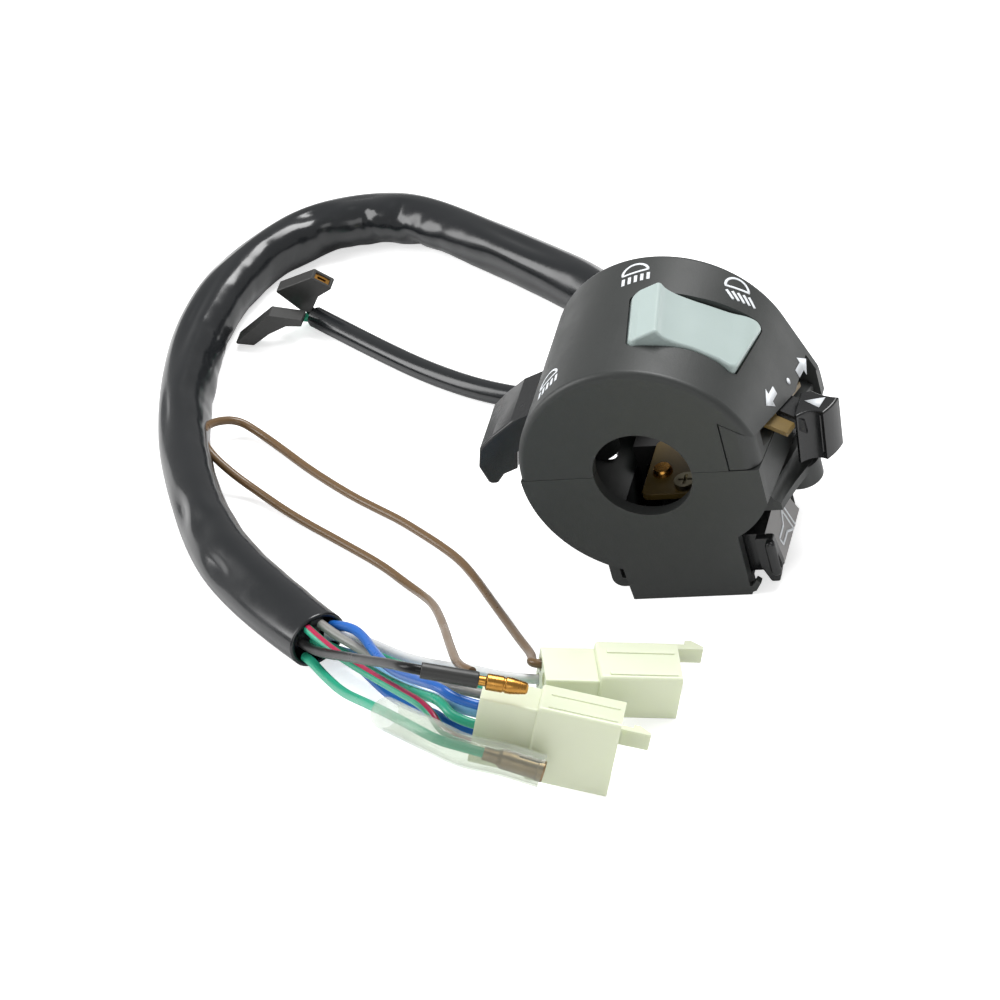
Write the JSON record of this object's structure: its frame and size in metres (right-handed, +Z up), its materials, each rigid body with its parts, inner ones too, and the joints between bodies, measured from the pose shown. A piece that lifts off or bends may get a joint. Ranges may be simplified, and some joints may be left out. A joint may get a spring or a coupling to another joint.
{
  "type": "motorcycle handlebar switch cluster",
  "caption": "Left-hand handlebar switch cluster for a motorbike: clamp-on split casing with dimmer rocker, turn slider, horn lever, flash trigger and plugged harness.",
  "frame": {"origin": "on the bar's axis, in the plane of the casing's end face that meets the grip", "axes": "+Y along the bar from the grip towards the middle of the bike, +X towards the rider, +Z up as it lies on a table"},
  "size_m": [0.1849, 0.2292, 0.0657],
  "materials": {
    "casing": "satin",
    "zinc_steel": "satin",
    "rocker_grey": "satin",
    "steel": "satin",
    "black_moulding": "matte",
    "phenolic": "matte",
    "knob_black": "gloss",
    "horn_grey": "satin",
    "brass_bright": "polished",
    "brass_dull": "dull",
    "connector_nylon": "satin",
    "black_rubber": "matte",
    "clear_pvc": "gloss",
    "sleeve_pvc": "gloss",
    "wire_blue": "satin",
    "wire_grey": "satin",
    "wire_green": "satin",
    "wire_light_blue": "satin",
    "wire_white": "satin",
    "wire_black": "satin",
    "wire_brown": "satin"
  },
  "bodies": {
    "casing": {"upper_housing": "casing", "lower_housing": "casing", "casing_screws": "zinc_steel", "dimmer_pivot_pin": "steel", "dimmer_base": "black_moulding", "turn_switch_base": "casing", "horn_pivot_pin": "steel", "horn_spring": "steel", "trigger_pivot_pin": "steel", "passing_spring": "steel", "contact_plate": "phenolic", "contact_screw": "zinc_steel", "contact_rivets": "brass_bright", "sleeve_clamp": "black_moulding", "connector_back": "connector_nylon", "connector_front": "connector_nylon", "terminals_back": "brass_bright", "terminals_front": "brass_bright", "bullet_male": "brass_bright", "bullet_sleeve": "black_rubber", "bullet_receptacle": "brass_dull", "clear_sleeve": "clear_pvc", "clutch_boot_a": "black_rubber", "clutch_boot_b": "black_rubber", "clutch_terminal_a": "brass_dull", "clutch_terminal_b": "brass_dull", "main_sleeve": "sleeve_pvc", "clutch_sleeve": "sleeve_pvc", "wire_blue": "wire_blue", "wire_blue_low": "wire_blue", "wire_grey": "wire_grey", "wire_green_red": "wire_green", "wire_green": "wire_green", "wire_green_back": "wire_green", "wire_green_lower": "wire_green", "wire_light_blue": "wire_light_blue", "wire_white": "wire_white", "wire_black": "wire_black", "wire_brown": "wire_brown", "clutch_lead_a": "wire_black", "clutch_lead_b": "wire_green"},
    "rocker": {"dimmer_rocker": "rocker_grey", "dimmer_detent_ball": "steel", "dimmer_detent_spring": "steel"},
    "turn_slider": {"turn_slide_plate": "phenolic", "turn_knob": "knob_black", "turn_detent_ball": "steel"},
    "horn_lever": {"horn_button": "horn_grey"},
    "flash_trigger": {"passing_trigger": "knob_black"}
  },
  "joints": [
    {"name": "dimmer_hinge", "type": "hinge", "parent": "casing", "child": "rocker", "pos_m": [0.01036, 0.02081, 0.01943], "axis": [0.1392, -0.9903, 0], "range_deg": [0, 14]},
    {"name": "turn_slide", "type": "slide", "parent": "casing", "child": "turn_slider", "axis": [0.0793, 0.9569, -0.2795], "range_m": [-0.004, 0.004]},
    {"name": "horn_hinge", "type": "hinge", "parent": "casing", "child": "horn_lever", "pos_m": [0.0156, 0.0244, -0.026], "axis": [0, 0, -1], "range_deg": [0, 5], "stiffness_Nm_per_rad": 0.25, "springref_deg": -5.73},
    {"name": "flash_hinge", "type": "hinge", "parent": "casing", "child": "flash_trigger", "pos_m": [-0.0206, 0.017, 0.007], "axis": [0, -1, 0], "range_deg": [0, 9], "stiffness_Nm_per_rad": 0.25, "springref_deg": -5.73}
  ]
}
